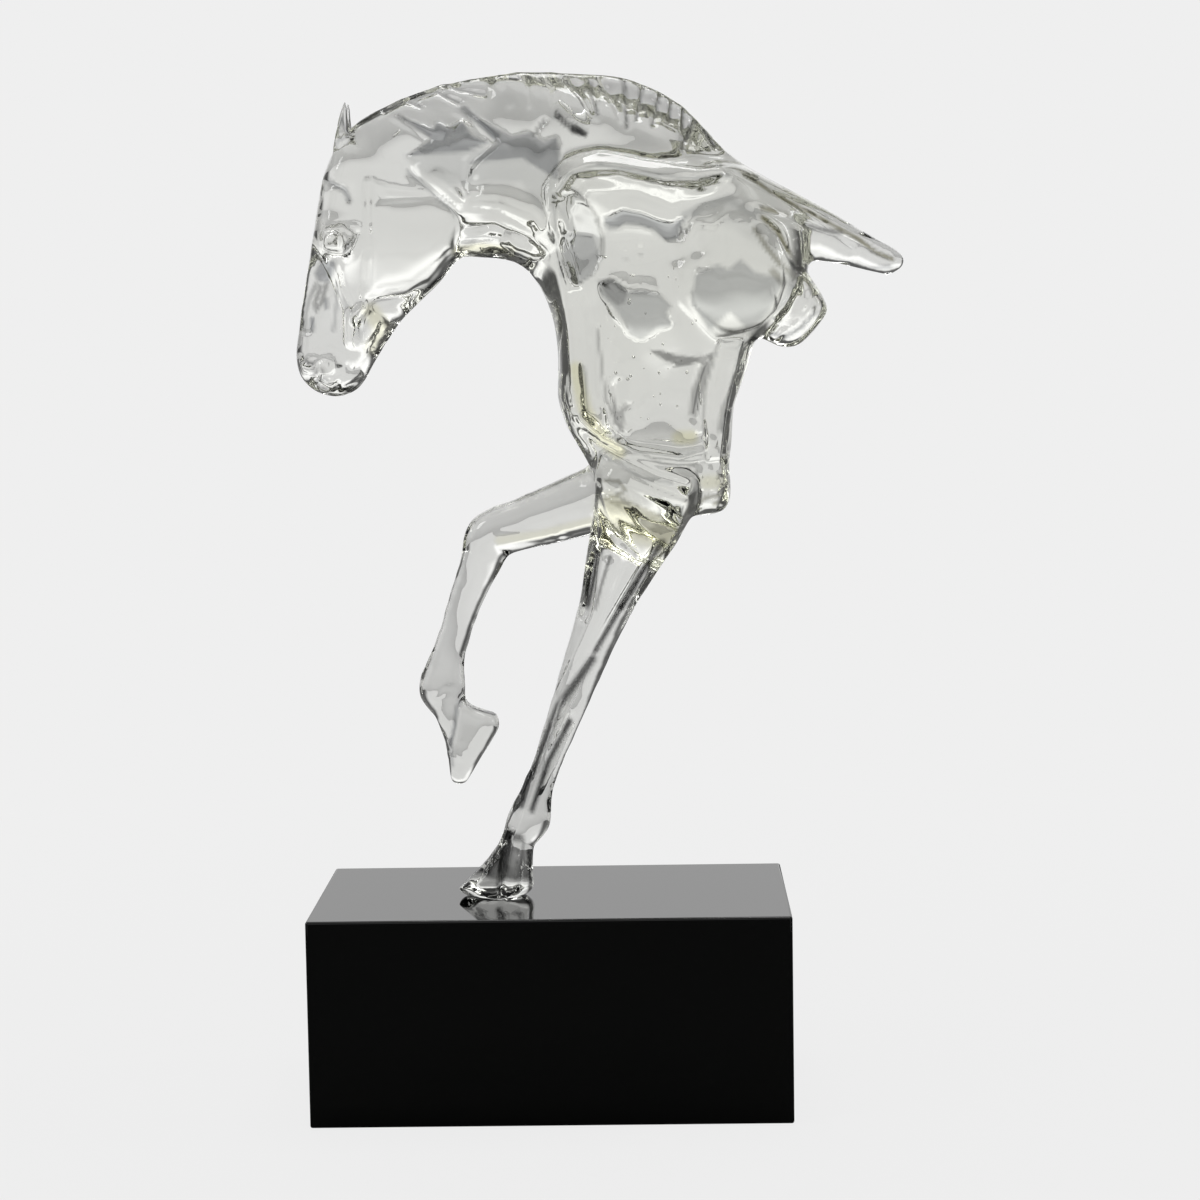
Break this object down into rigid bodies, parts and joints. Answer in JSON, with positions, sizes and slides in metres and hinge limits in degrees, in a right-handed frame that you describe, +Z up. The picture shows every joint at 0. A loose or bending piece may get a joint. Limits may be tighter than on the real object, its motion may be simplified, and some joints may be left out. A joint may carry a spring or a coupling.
{
  "type": "horse sculpture",
  "caption": "Clear cast resin sculpture of a horse's forequarters with bowed head, raised foreleg and upright mane, on a black gloss block plinth.",
  "frame": {"origin": "centre of the plinth's underside", "axes": "+Z up; the horse faces -X, and the pictured side, with the standing foreleg nearer, faces -Y"},
  "size_m": [0.3084, 0.138, 0.5213],
  "materials": {
    "clear_resin": "clear, polished, slightly grey-green in thick places",
    "black_gloss": "black, polished to a mirror"
  },
  "bodies": {
    "root": {"horse": "clear_resin", "plinth": "black_gloss"}
  },
  "joints": []
}
